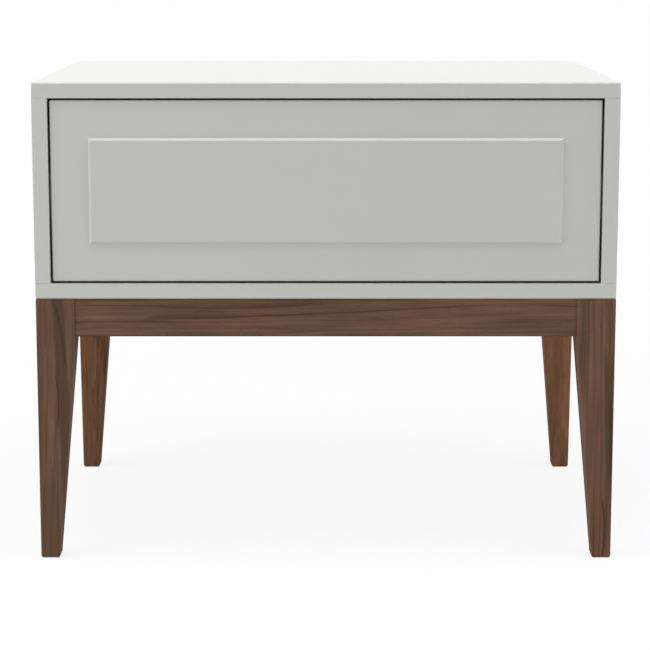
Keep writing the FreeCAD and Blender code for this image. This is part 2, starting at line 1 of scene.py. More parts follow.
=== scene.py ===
"""Looks of a nightstand: a lacquered box with one push-to-open drawer, on a walnut frame with tapered legs.

Lengths are metres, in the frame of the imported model, whose solids carry every piece. Flat work is taken from
its solid and gets rounded arrises. Small round work is turned anew where its solid stands.
"""

from __future__ import annotations

import json
import logging
import math
from dataclasses import dataclass
from enum import Enum
from typing import Iterable, Sequence

import bmesh
import bpy
from mathutils import Matrix, Vector

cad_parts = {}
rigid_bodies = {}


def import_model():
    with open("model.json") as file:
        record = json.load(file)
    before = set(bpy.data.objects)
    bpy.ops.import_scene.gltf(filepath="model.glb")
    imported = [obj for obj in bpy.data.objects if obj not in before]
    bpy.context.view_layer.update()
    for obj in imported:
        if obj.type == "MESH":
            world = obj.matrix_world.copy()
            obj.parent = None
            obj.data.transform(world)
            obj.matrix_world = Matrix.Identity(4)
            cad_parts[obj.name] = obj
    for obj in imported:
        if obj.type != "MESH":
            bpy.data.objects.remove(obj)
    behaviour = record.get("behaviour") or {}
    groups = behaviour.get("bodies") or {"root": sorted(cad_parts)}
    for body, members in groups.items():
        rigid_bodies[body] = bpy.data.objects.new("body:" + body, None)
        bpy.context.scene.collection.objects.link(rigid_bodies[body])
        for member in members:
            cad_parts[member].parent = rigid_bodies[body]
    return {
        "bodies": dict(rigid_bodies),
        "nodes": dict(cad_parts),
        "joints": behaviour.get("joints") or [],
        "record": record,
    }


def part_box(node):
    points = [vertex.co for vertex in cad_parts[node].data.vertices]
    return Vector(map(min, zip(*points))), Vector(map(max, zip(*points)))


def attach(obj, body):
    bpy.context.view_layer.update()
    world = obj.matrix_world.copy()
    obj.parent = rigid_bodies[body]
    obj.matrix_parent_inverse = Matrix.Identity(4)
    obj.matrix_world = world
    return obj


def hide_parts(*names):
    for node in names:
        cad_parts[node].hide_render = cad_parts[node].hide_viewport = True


log = logging.getLogger("nightstand")

MILLIMETRE = 0.001
WELD = 0.001 * MILLIMETRE
FLAT = math.radians(0.4)
WHITE = (1.0, 1.0, 1.0)

Place = tuple[float, float, float]
Colour = tuple[float, float, float]
Range = tuple[float, float]
Socket = bpy.types.NodeSocket
Shade = Socket | float | Sequence[float]
Mesh = bmesh.types.BMesh
Corner = bmesh.types.BMVert


class Grain(Enum):
    """The way that the grain runs, as the axes across the piece, through it and along its grain."""

    UPRIGHT = ("X", "Y", "Z")
    SIDEWAYS = ("Z", "Y", "X")
    DEEP = ("Z", "X", "Y")


class Mark(Enum):
    """What a vein in the walnut is: a dark line, a smoky band or an amber one. Lines and smoky bands also carry
    the painted shade along the front apron's bottom edge.
    """

    LINE = "line"
    SMOKE = "smoke"
    AMBER = "amber"


def linear(red: int, green: int, blue: int) -> Colour:
    """Turns a colour as a screen shows it, 0 to 255, into the linear values that a shader takes."""
    parts = (part / 255 for part in (red, green, blue))
    return tuple(part / 12.92 if part <= 0.04045 else ((part + 0.055) / 1.055) ** 2.4 for part in parts)


def added(name: str, data: bpy.types.ID) -> bpy.types.Object:
    """Adds an object to the scene.

    Args:
        name: The object's name.
        data: Its mesh, lamp or camera.

    Returns:
        The object.
    """
    made = bpy.data.objects.new(name, data)
    bpy.context.scene.collection.objects.link(made)
    return made


def formed(work: Mesh, name: str, finish: bpy.types.Material) -> bpy.types.Object:
    """Makes an object of a finished mesh.

    Args:
        work: The mesh, which is freed.
        name: The object's name.
        finish: Its material.

    Returns:
        The object.
    """
    mesh = bpy.data.meshes.new(name)
    work.to_mesh(mesh)
    work.free()
    mesh.materials.append(finish)
    return added(name, mesh)


@dataclass(frozen=True)
class Waves:
    """Soft noise: its waves to a metre, its finer layers, its swirl, and the tones at its patches' edges."""

    scale: float
    detail: float = 2.0
    swirl: float = 0.0
    edges: Range = (0.3, 0.7)


@dataclass(frozen=True)
class Stock:
    """Where a point lies in a piece of wood: across it, through it and along its grain."""

    across: Socket
    through: Socket
    along: Socket


class Wiring:
    """A tree of nodes under way, a material's or the world's."""

    def __init__(self, tree: bpy.types.NodeTree) -> None:
        """Takes a tree, and empties it."""
        self.tree = tree
        self.tree.nodes.clear()

    def feed(self, socket: Socket, value: Shade) -> None:
        """Links a socket to another one, or sets its value.

        Args:
            socket: The input to feed.
            value: An output to link, or a number or a colour.
        """
        if isinstance(value, bpy.types.NodeSocket):
            self.tree.links.new(value, socket)
        else:
            socket.default_value = (*value, 1.0) if socket.type == "RGBA" else value

    def node(self, kind: str, inputs: dict[str | int, Shade], **settings: object) -> bpy.types.Node:
        """Adds a node.

        Args:
            kind: Blender's name for the node's type.
            inputs: What feeds each input, by its name or number.
            settings: The node's own settings.

        Returns:
            The node.
        """
        made = self.tree.nodes.new(kind)
        for key, value in settings.items():
            setattr(made, key, value)
        for key, value in inputs.items():
            self.feed(made.inputs[key], value)
        return made

    def math(self, operation: str, first: Shade, second: Shade = 0.0, third: Shade = 0.0) -> Socket:
        """Adds a sum on up to three numbers, by Blender's name for the operation, and gives its result."""
        return self.node("ShaderNodeMath", {0: first, 1: second, 2: third}, operation=operation).outputs[0]

    def rays(self, *kinds: str) -> Shade:
        """Tells rays of some kinds from the others.

        Args:
            kinds: The kinds, such as Camera.

        Returns:
            1 for a ray of one of those kinds, or else 0.
        """
        paths = self.node("ShaderNodeLightPath", {}).outputs
        told: Shade = 0.0
        for kind in kinds:
            told = self.math("MAXIMUM", told, paths[f"Is {kind} Ray"])
        return told

    def mix(self, share: Shade, first: bpy.types.Node, second: bpy.types.Node) -> Socket:
        """Mixes two shaders, where the share is how much of the second one shows."""
        inputs = {0: share, 1: first.outputs[0], 2: second.outputs[0]}
        return self.node("ShaderNodeMixShader", inputs).outputs[0]


class Shading(Wiring):
    """A material under way: its nodes, and the surface shader that they feed."""

    def __init__(self, name: str) -> None:
        """Starts a material with a bare surface shader.

        Args:
            name: The material's name.
        """
        self.material = bpy.data.materials.new(name)
        self.material.use_nodes = True
        super().__init__(self.material.node_tree)
        self.surface = self.node("ShaderNodeBsdfPrincipled", {})
        self.output = self.node("ShaderNodeOutputMaterial", {"Surface": self.surface.outputs[0]})

    def blend(self, share: Shade, first: Shade, second: Shade) -> Socket:
        """Mixes two colours, where the share is how much of the second one shows."""
        return self.node("ShaderNodeMix", {0: share, 6: first, 7: second}, data_type="RGBA").outputs[2]

    def ramp(self, share: Shade, stops: Iterable[tuple[float, Colour]]) -> Socket:
        """Turns a number into a colour along a scale.

        Args:
            share: The number, from 0 to 1.
            stops: Places on the scale with the colour of each.

        Returns:
            The colour.
        """
        made = self.node("ShaderNodeValToRGB", {0: share})
        elements = made.color_ramp.elements
        for index, (place, colour) in enumerate(stops):
            element = elements[index] if index < len(elements) else elements.new(place)
            element.position = place
            element.color = (*colour, 1.0)
        return made.outputs[0]

    def band(self, share: Shade, low: float, high: float) -> Socket:
        """Turns a range of a number, from low to high, into a smooth step from 0 to 1."""
        inputs = {"Value": share, "From Min": low, "From Max": high}
        return self.node("ShaderNodeMapRange", inputs, interpolation_type="SMOOTHSTEP").outputs[0]

    def noise(self, where: Socket, waves: Waves) -> Socket:
        """Reads soft noise at some coordinates, about 0.5 on average."""
        inputs = {"Vector": where, "Scale": waves.scale, "Detail": waves.detail, "Distortion": waves.swirl}
        return self.node("ShaderNodeTexNoise", inputs).outputs["Fac"]

    def patches(self, where: Socket, waves: Waves) -> Socket:
        """Turns soft noise into patches with soft edges, from 0 to 1."""
        return self.band(self.noise(where, waves), *waves.edges)

    def wander(self, where: Socket, waves: Waves, reach: float) -> Socket:
        """Turns soft noise into a shift about zero, whose whole range is the reach."""
        return self.math("MULTIPLY", self.math("SUBTRACT", self.noise(where, waves), 0.5), reach)

    def total(self, parts: Iterable[tuple[Socket, float]]) -> Shade:
        """Adds up numbers.

        Args:
            parts: Each number with its weight.

        Returns:
            The sum.
        """
        result: Shade = 0.0
        for part, weight in parts:
            result = self.math("MULTIPLY_ADD", part, weight, result)
        return result

    def place(self) -> Socket:
        """The place on the piece, as it stands in the frame at rest."""
        return self.node("ShaderNodeTexCoord", {}).outputs["Object"]

    def axes(self) -> dict[str, Socket]:
        """The place on the piece, axis by axis."""
        parts = self.node("ShaderNodeSeparateXYZ", {0: self.place()})
        return {axis: parts.outputs[axis] for axis in "XYZ"}

    def vector(self, first: Shade, second: Shade, third: Shade) -> Socket:
        """Joins three numbers into one place."""
        return self.node("ShaderNodeCombineXYZ", {0: first, 1: second, 2: third}).outputs[0]

    def stock(self, grain: Grain) -> Stock:
        """The place in a piece of wood whose grain runs that way."""
        axes = self.axes()
        return Stock(*(axes[axis] for axis in grain.value))

    def drawn(self, stock: Stock, stretch: float, seed: float = 0.0) -> Socket:
        """Gives coordinates that draw a figure out along the grain, with a step along it as their seed."""
        along = self.math("MULTIPLY_ADD", stock.along, 1 / stretch, seed)
        return self.vector(stock.across, stock.through, along)

    def paint(self, colour: Socket) -> None:
        """Gives the surface its colour."""
        self.feed(self.surface.inputs["Base Color"], colour)

    def roughen(self, tone: Socket, low: float, swing: float) -> None:
        """Lets the roughness follow a tone: low where the tone is 0, and a swing above that where it is 1."""
        self.feed(self.surface.inputs["Roughness"], self.math("MULTIPLY_ADD", tone, swing, low))

    def relief(self, height: Socket, depth: float, strength: float = 1.0) -> None:
        """Gives the surface a fine relief, whose height runs from 0 to 1, where 1 stands for its depth."""
        bump = self.node("ShaderNodeBump", {"Strength": strength, "Distance": depth, "Height": height})
        self.feed(self.surface.inputs["Normal"], bump.outputs[0])

    def settle(self, **values: float) -> None:
        """Sets numbers on the surface shader's own sockets, by their names in lower case with underscores."""
        for name, value in values.items():
            self.surface.inputs[name.replace("_", " ").title().replace("Ior", "IOR")].default_value = value


@dataclass(frozen=True)
class Vein:
    """A growth line or a band of colour in the walnut, where it crosses the face that shows, or a band of
    painted shade laid along an edge.

    Its place is counted across the grain, where the vein is at its middle along the grain. From there it runs
    on with a lean and a bow, and fades out at its reach. The core is the share of its width at full strength.
    """

    place: float
    middle: float
    reach: float
    width: float
    lean: float = 0.0
    bow: float = 0.0
    strength: float = 0.6
    mark: Mark = Mark.LINE
    core: float = 0.3


@dataclass(frozen=True)
class Walnut:
    """Oiled walnut, sawn from its own place in the log.

    The heart is the log's centre, across and through the piece, and the lean is how far the log leans over the
    length of the piece. The face is where the side that shows stands, and the veins sink in from it at a slant.
    The seed tells pieces apart. A stretch is how far a figure is drawn out along the grain, and a weight is its
    share in the tone. A ring's early and late wood and its streak run between shares of the ring's width.
    """

    name: str
    grain: Grain
    heart: Range
    face: float
    seed: float
    veins: tuple[Vein, ...] = ()
    lean: float = 0.0
    slant: float = 0.6
    dark: Colour = linear(58, 41, 33)
    brown: Colour = linear(89, 66, 53)
    warm: Colour = linear(105, 78, 63)
    pale: Colour = linear(122, 92, 76)
    smoke: Colour = linear(79, 63, 49)
    amber: Colour = linear(128, 80, 46)
    stops: tuple[float, ...] = (0.42, 0.62, 0.78, 1.0)
    stretch: float = 11.0
    broad: Waves = Waves(30.0, 3.0, 0.5)
    broad_weight: float = 0.55
    close: Waves = Waves(130.0, 3.0, 0.3)
    close_weight: float = 0.5
    ring: float = 6.0 * MILLIMETRE
    ring_weight: float = 0.08
    ring_sway: Waves = Waves(12.0)
    sway_reach: float = 14.0 * MILLIMETRE
    ring_drift: Waves = Waves(34.0)
    drift_rings: float = 2.6
    early_shares: Range = (0.0, 0.2)
    late_shares: Range = (0.35, 1.0)
    streak_start_shares: Range = (0.8, 0.94)
    streak_end_shares: Range = (1.0, 0.95)
    streak_patches: Waves = Waves(19.0, 2.0, 0.5, edges=(0.48, 0.62))
    streak: float = 0.22
    haze_and_edge_shade: float = 0.4
    haze_clouds: Waves = Waves(48.0, 3.0, 0.8, edges=(0.45, 0.68))
    fibre: Waves = Waves(520.0, 3.0)
    fibre_stretch: float = 45.0
    fibre_weight: float = 0.42
    pore: float = 0.3
    pores: Waves = Waves(1300.0, 1.0, edges=(0.62, 0.72))
    pore_stretch: float = 16.0
    vein_wander: Waves = Waves(60.0)
    wander_reach: float = 3.2 * MILLIMETRE
    fade_share: float = 0.5
    roughness: float = 0.62
    roughness_swing: float = 0.14
    relief_depth: float = 0.05 * MILLIMETRE
    relief_strength: float = 0.6
    refraction: float = 1.45
    specular_level: float = 0.03

    def material(self) -> bpy.types.Material:
        """Builds the material: broad tones, growth rings, veins, fibres and pores, with any painted edge shade
        that the veins carry.

        Returns:
            The material.
        """
        shading = Shading(self.name)
        stock = shading.stock(self.grain)
        field = shading.drawn(stock, self.stretch, self.seed)
        season, streaks = self.rings(shading, stock, field)
        fibres = shading.noise(shading.drawn(stock, self.fibre_stretch, self.seed), self.fibre)
        pores = shading.patches(shading.drawn(stock, self.pore_stretch, self.seed), self.pores)
        tone = shading.total((
            (shading.noise(field, self.broad), self.broad_weight),
            (shading.noise(field, self.close), self.close_weight),
            (fibres, self.fibre_weight),
            (season, self.ring_weight),
        ))
        wood = shading.ramp(tone, zip(self.stops, (self.dark, self.brown, self.warm, self.pale)))
        drawn = self.figure(shading, stock, field)
        # The smoky bands and dark lines also carry painted shade along the front apron's bottom edge.
        clouds = shading.math("MULTIPLY", shading.patches(field, self.haze_clouds), self.haze_and_edge_shade)
        haze_and_edge_shade = shading.math("MAXIMUM", clouds, drawn[Mark.SMOKE])
        wood = shading.blend(drawn[Mark.AMBER], wood, self.amber)
        wood = shading.blend(haze_and_edge_shade, wood, self.smoke)
        marks_and_edge_shade = shading.math("MAXIMUM", shading.math("MULTIPLY", streaks, self.streak), drawn[Mark.LINE])
        marks_and_edge_shade = shading.math("MAXIMUM", marks_and_edge_shade, shading.math("MULTIPLY", pores, self.pore))
        shading.paint(shading.blend(marks_and_edge_shade, wood, self.dark))
        shading.roughen(fibres, self.roughness, self.roughness_swing)
        shading.relief(shading.math("SUBTRACT", fibres, pores), self.relief_depth, self.relief_strength)
        shading.settle(ior=self.refraction, specular_ior_level=self.specular_level)
        return shading.material

    def rings(self, shading: Shading, stock: Stock, field: Socket) -> tuple[Socket, Socket]:
        """Draws the growth rings, and the thin dark streaks that follow some of them.

        Args:
            shading: The material under way.
            stock: The place in the wood.
            field: The coordinates, drawn out along the grain.

        Returns:
            The rings' tone and the streaks' strength, from 0 to 1.
        """
        swing = shading.wander(field, self.ring_sway, self.sway_reach)
        heart = shading.math("MULTIPLY_ADD", stock.along, self.lean, self.heart[0])
        x = shading.math("ADD", shading.math("SUBTRACT", stock.across, heart), swing)
        y = shading.math("ADD", shading.math("SUBTRACT", stock.through, self.heart[1]), swing)
        distance = shading.math("SQRT", shading.math("MULTIPLY_ADD", x, x, shading.math("MULTIPLY", y, y)))
        drift = shading.math("MULTIPLY", shading.noise(field, self.ring_drift), self.drift_rings)
        phase = shading.math("FRACT", shading.math("MULTIPLY_ADD", distance, 1 / self.ring, drift))
        shares = (self.early_shares, self.late_shares, self.streak_start_shares, self.streak_end_shares)
        early, late, start, end = (shading.band(phase, *edges) for edges in shares)
        patches = shading.patches(field, self.streak_patches)
        streaks = shading.math("MULTIPLY", shading.math("MULTIPLY", start, end), patches)
        return shading.math("SUBTRACT", early, late), streaks

    def figure(self, shading: Shading, stock: Stock, field: Socket) -> dict[Mark, Shade]:
        """Draws the piece's own veins, which run on through it at a slant.

        Args:
            shading: The material under way.
            stock: The place in the wood.
            field: The coordinates, drawn out along the grain.

        Returns:
            The strength of each kind of mark, from 0 to 1.
        """
        marks_and_edge_shade: dict[Mark, Shade] = {mark: 0.0 for mark in Mark}
        if not self.veins:
            return marks_and_edge_shade
        across = shading.math("ADD", stock.across, shading.wander(field, self.vein_wander, self.wander_reach))
        depth = shading.math("SUBTRACT", stock.through, self.face)
        where = shading.math("MULTIPLY_ADD", depth, self.slant, across)
        for vein in self.veins:
            gone = shading.math("SUBTRACT", stock.along, vein.middle)
            slope = shading.math("MULTIPLY_ADD", gone, vein.bow, vein.lean)
            path = shading.math("MULTIPLY_ADD", gone, slope, vein.place)
            offset = shading.math("ABSOLUTE", shading.math("SUBTRACT", where, path))
            mark = shading.band(offset, vein.width, vein.core * vein.width)
            fade = shading.band(shading.math("ABSOLUTE", gone), vein.reach, self.fade_share * vein.reach)
            shown = shading.math("MULTIPLY", shading.math("MULTIPLY", mark, fade), vein.strength)
            marks_and_edge_shade[vein.mark] = shading.math("MAXIMUM", marks_and_edge_shade[vein.mark], shown)
        return marks_and_edge_shade


@dataclass(frozen=True)
class Plywood:
    """Birch plywood with a clear coat: veneers that cross each other, seen as stripes on every edge.

    An odd count of layers lets both faces run lengthways. The bounds are the places of those faces, and sanding
    has taken a share of each face veneer.
    """

    name: str
    thickness: str
    lengthways: str
    upright: str
    bounds: Range
    layers: int
    sanded_share: float = 0.15
    face: Colour = linear(222, 200, 164)
    cross: Colour = linear(190, 157, 114)
    glue: Colour = linear(120, 88, 58)
    fibre: Colour = linear(206, 178, 136)
    stretch: float = 30.0
    figure: Waves = Waves(160.0, 4.0, 0.6, edges=(0.35, 0.7))
    end_figure: Waves = Waves(420.0, 3.0, edges=(0.3, 0.75))
    seam_share: float = 0.1
    seam_strength: float = 0.6
    roughness: float = 0.38
    roughness_swing: float = 0.12
    relief_depth: float = 0.03 * MILLIMETRE
    relief_strength: float = 0.5

    def material(self) -> bpy.types.Material:
        """Builds the material.

        Returns:
            The material.
        """
        shading = Shading(self.name)
        axes = shading.axes()
        deep, along, across = axes[self.thickness], axes[self.lengthways], axes[self.upright]
        rate = (self.layers - 2 * self.sanded_share) / (self.bounds[1] - self.bounds[0])
        layer = shading.math("MULTIPLY_ADD", deep, rate, self.sanded_share - self.bounds[0] * rate)
        crossed = shading.math("GREATER_THAN", shading.math("FRACT", shading.math("MULTIPLY", layer, 0.5)), 0.5)
        seam = shading.math("GREATER_THAN", shading.math("FRACT", layer), 1 - self.seam_share)
        long_field = shading.vector(shading.math("MULTIPLY", along, 1 / self.stretch), across, deep)
        end_field = shading.vector(along, shading.math("MULTIPLY", across, 1 / self.stretch), deep)
        figure = shading.patches(long_field, self.figure)
        end_figure = shading.patches(end_field, self.end_figure)
        veneer = shading.blend(figure, self.face, self.fibre)
        wood = shading.blend(crossed, veneer, shading.blend(end_figure, self.cross, self.fibre))
        shading.paint(shading.blend(shading.math("MULTIPLY", seam, self.seam_strength), wood, self.glue))
        shading.roughen(figure, self.roughness, self.roughness_swing)
        shading.relief(end_figure, self.relief_depth, self.relief_strength)
        return shading.material


@dataclass(frozen=True)
class PlainWood:
    """Bare light wood, such as beech, with short flecks."""

    name: str
    grain: Grain
    light: Colour = linear(206, 168, 124)
    dark: Colour = linear(176, 132, 90)
    fleck: Colour = linear(138, 96, 62)
    stretch: float = 12.0
    tone: Waves = Waves(180.0, 3.0, 0.3)
    flecks: Waves = Waves(1500.0, 1.0, edges=(0.62, 0.7))
    fleck_strength: float = 0.6
    roughness: float = 0.55
    roughness_swing: float = 0.1
    relief_depth: float = 0.04 * MILLIMETRE
    relief_strength: float = 0.6

    def material(self) -> bpy.types.Material:
        """Builds the material.

        Returns:
            The material.
        """
        shading = Shading(self.name)
        field = shading.drawn(shading.stock(self.grain), self.stretch)
        tone = shading.patches(field, self.tone)
        flecks = shading.math("MULTIPLY", shading.patches(field, self.flecks), self.fleck_strength)
        shading.paint(shading.blend(flecks, shading.blend(tone, self.light, self.dark), self.fleck))
        shading.roughen(tone, self.roughness, self.roughness_swing)
        shading.relief(tone, self.relief_depth, self.relief_strength)
        return shading.material


@dataclass(frozen=True)
class Plain:
    """A finish of one substance, a little cloudy, with a fine relief: plastic, rubber, felt, paint or metal."""

    name: str
    colour: Colour
    shade: Colour
    roughness: float
    roughness_swing: float = 0.1
    metallic: float = 0.0
    sheen: float = 0.0
    cloud: Waves = Waves(60.0, 4.0, 0.3)
    relief: Waves = Waves(900.0)
    relief_depth: float = 0.02 * MILLIMETRE

    def material(self) -> bpy.types.Material:
        """Builds the material.

        Returns:
            The material.
        """
        shading = Shading(self.name)
        place = shading.place()
        cloud = shading.noise(place, self.cloud)
        shading.paint(shading.blend(shading.band(cloud, *self.cloud.edges), self.shade, self.colour))
        shading.roughen(cloud, self.roughness - self.roughness_swing / 2, self.roughness_swing)
        shading.relief(shading.noise(place, self.relief), self.relief_depth)
        shading.settle(**self.settings())
        return shading.material

    def settings(self) -> dict[str, float]:
        """The numbers of its own that the finish sets on the surface shader."""
        return {"metallic": self.metallic, "sheen_weight": self.sheen}


@dataclass(frozen=True)
class Lacquer(Plain):
    """Sprayed satin lacquer over fibreboard: a pale coat with a harder, glossier skin."""

    name: str = "warm_grey_lacquer"
    colour: Colour = linear(181, 182, 176)
    shade: Colour = linear(180, 181, 175)
    roughness: float = 0.36
    roughness_swing: float = 0.05
    cloud: Waves = Waves(9.0, 3.0)
    relief: Waves = Waves(420.0)
    relief_depth: float = 0.006 * MILLIMETRE
    refraction: float = 1.45
    specular_level: float = 0.25
    skin: float = 1.0
    skin_roughness: float = 0.16

    def settings(self) -> dict[str, float]:
        """The numbers of its own that the finish sets on the surface shader."""
        under = {"ior": self.refraction, "specular_ior_level": self.specular_level}
        return {**under, "coat_weight": self.skin, "coat_roughness": self.skin_roughness}


class Shelf:
    """The finishes that several pieces share, each built once and handed out by name."""

    def __init__(self) -> None:
        """Builds every finish."""
        kinds = (
            Plain("painted_hardboard", linear(184, 184, 179), linear(181, 181, 176), 0.55, relief=Waves(300.0)),
            Plain("cast_zinc", linear(178, 179, 180), linear(150, 151, 153), 0.42, metallic=1.0),
            Plain(
                "zinc_plate", linear(194, 196, 199), linear(186, 188, 192), 0.36, 0.08, metallic=1.0,
                cloud=Waves(140.0, 4.0, 0.3),
            ),
            Plain("screw_steel", linear(186, 184, 176), linear(160, 156, 146), 0.3, metallic=1.0),
            Plain(
                "ball_steel", linear(214, 215, 217), linear(204, 205, 208), 0.12, 0.04, metallic=1.0,
                relief_depth=0.0,
            ),
            Plain(
                "felt", linear(128, 126, 122), linear(102, 100, 97), 0.95, 0.05, sheen=0.3,
                relief_depth=0.3 * MILLIMETRE,
            ),
            Plain("latch_plastic", linear(150, 152, 153), linear(143, 145, 146), 0.45, relief=Waves(1400.0)),
            Plain("soft_tip", linear(52, 52, 53), linear(44, 44, 45), 0.7, relief=Waves(700.0)),
            Lacquer(),
        )
        self.finishes = {kind.name: kind.material() for kind in kinds}

    def __getitem__(self, name: str) -> bpy.types.Material:
        """The finish of that name."""
        return self.finishes[name]


def span(corners: Iterable[Vector]) -> tuple[Vector, Vector]:
    """The lowest and the highest corner of a box round some points."""
    rows = list(zip(*corners))
    return Vector(min(row) for row in rows), Vector(max(row) for row in rows)


def islands(work: Mesh) -> list[list[Corner]]:
    """Finds the separate solids of a mesh.

    Args:
        work: The mesh.

    Returns:
        The corners of each solid.
    """
    seen: set[Corner] = set()
    groups = []
    for first in work.verts:
        if first in seen:
            continue
        seen.add(first)
        group = [first]
        for corner in group:
            fresh = [other for edge in corner.link_edges if (other := edge.other_vert(corner)) not in seen]
            seen.update(fresh)
            group.extend(fresh)
        groups.append(group)
    return groups


def ring(work: Mesh, start: Vector, frame: Matrix, height: float, radii: Sequence[float]) -> list[Corner]:
    """Adds a ring of corners round an axis.

    Args:
        work: The mesh.
        start: The foot of the axis.
        frame: The way that the axis points, as its Z.
        height: How far along the axis the ring lies.
        radii: The distance of each corner from the axis.

    Returns:
        The corners.
    """
    angles = (math.tau * side / len(radii) for side in range(len(radii)))
    spots = (Vector((r * math.cos(angle), r * math.sin(angle), height)) for r, angle in zip(radii, angles))
    return [work.verts.new(start + frame @ spot) for spot in spots]


def skin(work: Mesh, rings: Sequence[Sequence[Corner]], smooth: bool = True) -> None:
    """Joins rings of corners into a wall.

    Args:
        work: The mesh.
        rings: The rings, in their order along the wall.
        smooth: Whether the wall is shaded as one round surface.
    """
    for lower, upper in zip(rings, rings[1:]):
        for side, corner in enumerate(lower):
            after = (side + 1) % len(lower)
            work.faces.new((corner, lower[after], upper[after], upper[side])).smooth = smooth


def turn(
    work: Mesh, start: Vector, way: Vector, stations: Sequence[Range], sides: int, flute: float = 0.0
) -> None:
    """Adds a turned solid to a mesh.

    Args:
        work: The mesh.
        start: The foot of its axis.
        way: The axis, one unit long.
        stations: Distance along the axis and radius at each station.
        sides: How many flat sides it has.
        flute: How deep every second corner lies, for a fluted solid.
    """
    frame = way.to_track_quat("Z", "Y").to_matrix()
    rings = [
        ring(work, start, frame, height, [radius - flute * (side % 2) for side in range(sides)])
        for height, radius in stations
    ]
    skin(work, rings)
    work.faces.new(list(reversed(rings[0])))
    work.faces.new(rings[-1])


@dataclass(frozen=True)
class Side:
    """A side of a board: the axis that it stands across, and whether it is the one at the high end."""

    axis: int
    high: bool


class Bench:
    """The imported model, with what each of its nodes rides on and takes its finish from."""

    arris: float = 0.85 * MILLIMETRE
    sharp_angle: float = math.radians(20)
    crease_angle: float = math.radians(32)
    rounding_steps: int = 3
    shortest_in_roundings: float = 6.0

    def __init__(self) -> None:
        """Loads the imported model."""
        self.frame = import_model()
        record = self.frame["record"]
        groups = record["behaviour"]["bodies"]
        self.bodies = {node: body for body, nodes in groups.items() for node in nodes}
        self.slots = {row["node"]: row["material_slot"] for row in record["subparts"]}
        self.shelf = Shelf()

    def clean(self, work: Mesh) -> None:
        """Joins corners that lie in one spot, and the faces of each flat side.

        Args:
            work: The mesh.
        """
        bmesh.ops.remove_doubles(work, verts=work.verts, dist=WELD)
        bmesh.ops.dissolve_degenerate(work, edges=work.edges, dist=WELD)
        bmesh.ops.dissolve_limit(work, angle_limit=FLAT, verts=work.verts, edges=work.edges)

    def solid(self, node: str) -> Mesh:
        """Copies a node's solid, with the faces of each flat side joined.

        Args:
            node: The node's name.

        Returns:
            The copy, which the caller frees.
        """
        work = bmesh.new()
        work.from_mesh(self.frame["nodes"][node].data)
        self.clean(work)
        return work

    def parts(self, node: str) -> list[list[Vector]]:
        """Finds the separate solids of a node.

        Args:
            node: The node's name.

        Returns:
            The places of each solid's corners.
        """
        work = self.solid(node)
        groups = [[corner.co.copy() for corner in group] for group in islands(work)]
        work.free()
        return groups

    def stand(self, work: Mesh, name: str, node: str, finish: bpy.types.Material) -> bpy.types.Object:
        """Makes a piece of a finished mesh, in the place of a node.

        Args:
            work: The mesh, which is freed.
            name: The piece's name.
            node: The node that it stands for.
            finish: Its material.

        Returns:
            The piece.
        """
        bmesh.ops.recalc_face_normals(work, faces=work.faces)
        piece = formed(work, name, finish)
        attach(piece, self.bodies[node])
        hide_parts(node)
        log.info("%s: %d corners, rides on %s", name, len(piece.data.vertices), self.bodies[node])
        return piece

    def eased(
        self, node: str, name: str, finish: bpy.types.Material, radius: float, crisp: Sequence[Side] = ()
    ) -> bpy.types.Object:
        """Makes a flat piece of a node's solid, with its long arrises rounded.

        Args:
            node: The node's name.
            name: The piece's name.
            finish: Its material.
            radius: How far each rounding reaches from its arris.
            crisp: The sides round which the sanded arrises give way to a bare rounding.

        Returns:
            The piece.
        """
        work = self.solid(node)
        if crisp:
            self.sharpen(work, crisp)
        edges = [
            edge for edge in work.edges
            if edge.is_manifold and edge.is_convex and edge.calc_face_angle() > self.sharp_angle
            and edge.calc_length() > self.shortest_in_roundings * radius
        ]
        bmesh.ops.bevel(
            work, geom=edges, offset=radius, offset_type="OFFSET", segments=self.rounding_steps, profile=0.5,
            affect="EDGES", clamp_overlap=False,
        )
        for face in work.faces:
            face.smooth = True
        for edge in work.edges:
            edge.smooth = edge.is_manifold and edge.calc_face_angle() < self.crease_angle
        piece = self.stand(work, name, node, finish)
        piece.modifiers.new("flat sides", "WEIGHTED_NORMAL").keep_sharp = True
        return piece

    def sharpen(self, work: Mesh, sides: Sequence[Side]) -> None:
        """Takes away the sanded arrises round some sides of a board, as where it butts against another.

        Args:
            work: The board's mesh.
            sides: The sides.
        """
        box = span(corner.co for corner in work.verts)
        for corner in work.verts:
            if any(abs(corner.co[side.axis] - box[side.high][side.axis]) < self.arris for side in sides):
                for end in box:
                    for axis, place in enumerate(end):
                        if abs(corner.co[axis] - place) < self.arris:
                            corner.co[axis] = place
        self.clean(work)


